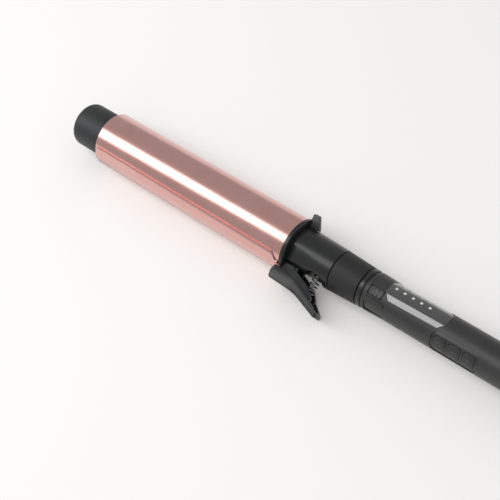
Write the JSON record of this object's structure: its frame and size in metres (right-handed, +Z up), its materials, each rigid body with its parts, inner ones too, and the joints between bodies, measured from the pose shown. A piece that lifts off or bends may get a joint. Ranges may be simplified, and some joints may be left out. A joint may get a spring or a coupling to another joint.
{
  "type": "curling iron",
  "caption": "Electric hair curling iron with a thick rose-gold barrel, sprung clip with thumb lever, stand leg, plug-in barrel unit and handle with window and keypad.",
  "frame": {"origin": "middle of the bounding box in plan, on the table that the iron lies on", "axes": "+X along the iron from the cool tip to the cord end, +Z up, +Y away from the side that the clip lever lies on"},
  "size_m": [0.4158, 0.0556, 0.0405],
  "materials": {
    "cool_tip_plastic": "satin",
    "insulator_plastic": "matt",
    "steel_screw": "satin",
    "rose_gold_coat": "satin",
    "raw_aluminium": "extruded",
    "heater_ceramic": "matt",
    "heater_film": "gloss film",
    "lead_sleeve": "braided",
    "glass_bead": "gloss",
    "tinned_metal": "satin",
    "housing_plastic": "satin",
    "spring_steel": "bright",
    "sleeve_plastic": "matt",
    "contact_brass": "bright",
    "lever_plastic": "satin",
    "ring_plastic": "gloss",
    "handle_plastic": "soft touch",
    "black_screw": "black oxide",
    "cap_plastic": "satin",
    "gland_plastic": "satin",
    "slider_plastic": "satin",
    "window_plastic": "gloss",
    "circuit_board": "solder mask",
    "led_lens": "clear",
    "clear_plastic": "clear",
    "bezel_plastic": "satin",
    "button_plastic": "satin",
    "switch_plastic": "matt",
    "capacitor_sleeve": "sleeve",
    "chip_plastic": "matt",
    "terminal_plastic": "gloss"
  },
  "bodies": {
    "handle": {"front_ring": "ring_plastic", "handle_shell_plain": "handle_plastic", "handle_shell_controls": "handle_plastic", "handle_screws": "black_screw", "end_cap": "cap_plastic", "swivel_washer": "insulator_plastic", "socket_body": "insulator_plastic", "socket_contacts": "contact_brass", "slider_spring": "spring_steel", "display_window": "window_plastic", "display_board": "circuit_board", "display_leds": "led_lens", "light_guide": "clear_plastic", "keypad_bezel": "bezel_plastic", "tact_switches": "switch_plastic", "key_board": "circuit_board", "power_board": "circuit_board", "filter_capacitor": "capacitor_sleeve", "power_switch_chip": "chip_plastic", "terminal_block": "terminal_plastic"},
    "barrel_unit": {"tip_cap": "cool_tip_plastic", "tip_insulator": "insulator_plastic", "tip_screw": "steel_screw", "barrel_tube": "rose_gold_coat", "heat_spreader_upper": "raw_aluminium", "heat_spreader_lower": "raw_aluminium", "heater_plate": "heater_ceramic", "heater_wrap": "heater_film", "heater_leads": "lead_sleeve", "thermistor": "glass_bead", "thermal_fuse": "tinned_metal", "base_insulator": "insulator_plastic", "base_screws": "steel_screw", "stand_flange": "housing_plastic", "hinge_housing": "housing_plastic", "hinge_pin": "steel_screw", "clip_spring": "spring_steel", "coupling_sleeve": "sleeve_plastic", "head_plug": "insulator_plastic", "plug_contacts": "contact_brass", "plug_screws": "steel_screw"},
    "clip": {"clip_plate": "rose_gold_coat", "thumb_lever": "lever_plastic", "clip_screws": "steel_screw"},
    "lock_slider": {"lock_slider": "slider_plastic"},
    "power_button": {"power_button": "button_plastic"},
    "cooler_button": {"cooler_button": "button_plastic"},
    "hotter_button": {"hotter_button": "button_plastic"},
    "cord_swivel": {"swivel_gland": "gland_plastic"}
  },
  "joints": [
    {"name": "barrel_unit_pull", "type": "slide", "parent": "handle", "child": "barrel_unit", "axis": [-1, 0, 0], "range_m": [0, 0.019]},
    {"name": "clip_hinge", "type": "hinge", "parent": "barrel_unit", "child": "clip", "pos_m": [0.0001, -0.00319, 0.01694], "axis": [0, -0.3256, 0.9455], "range_deg": [0, 20], "stiffness_Nm_per_rad": 0.5, "springref_deg": -20.05, "deforming": ["clip_spring"]},
    {"name": "lock_slide", "type": "slide", "parent": "handle", "child": "lock_slider", "axis": [-1, 0, 0], "range_m": [0, 0.0025], "stiffness_N_per_m": 250, "springref_m": -0.002, "deforming": ["slider_spring"]},
    {"name": "power_button_press", "type": "slide", "parent": "handle", "child": "power_button", "axis": [0, 0.8788, -0.4772], "range_m": [0, 0.0006], "stiffness_N_per_m": 600, "springref_m": -0.0006},
    {"name": "cooler_button_press", "type": "slide", "parent": "handle", "child": "cooler_button", "axis": [0, 0.8788, -0.4772], "range_m": [0, 0.0006], "stiffness_N_per_m": 600, "springref_m": -0.0006},
    {"name": "hotter_button_press", "type": "slide", "parent": "handle", "child": "hotter_button", "axis": [0, 0.8788, -0.4772], "range_m": [0, 0.0006], "stiffness_N_per_m": 600, "springref_m": -0.0006},
    {"name": "cord_turn", "type": "hinge", "parent": "handle", "child": "cord_swivel", "pos_m": [0.2009, 0.00655, 0.02029], "axis": [1, 0, 0], "continuous": true}
  ]
}
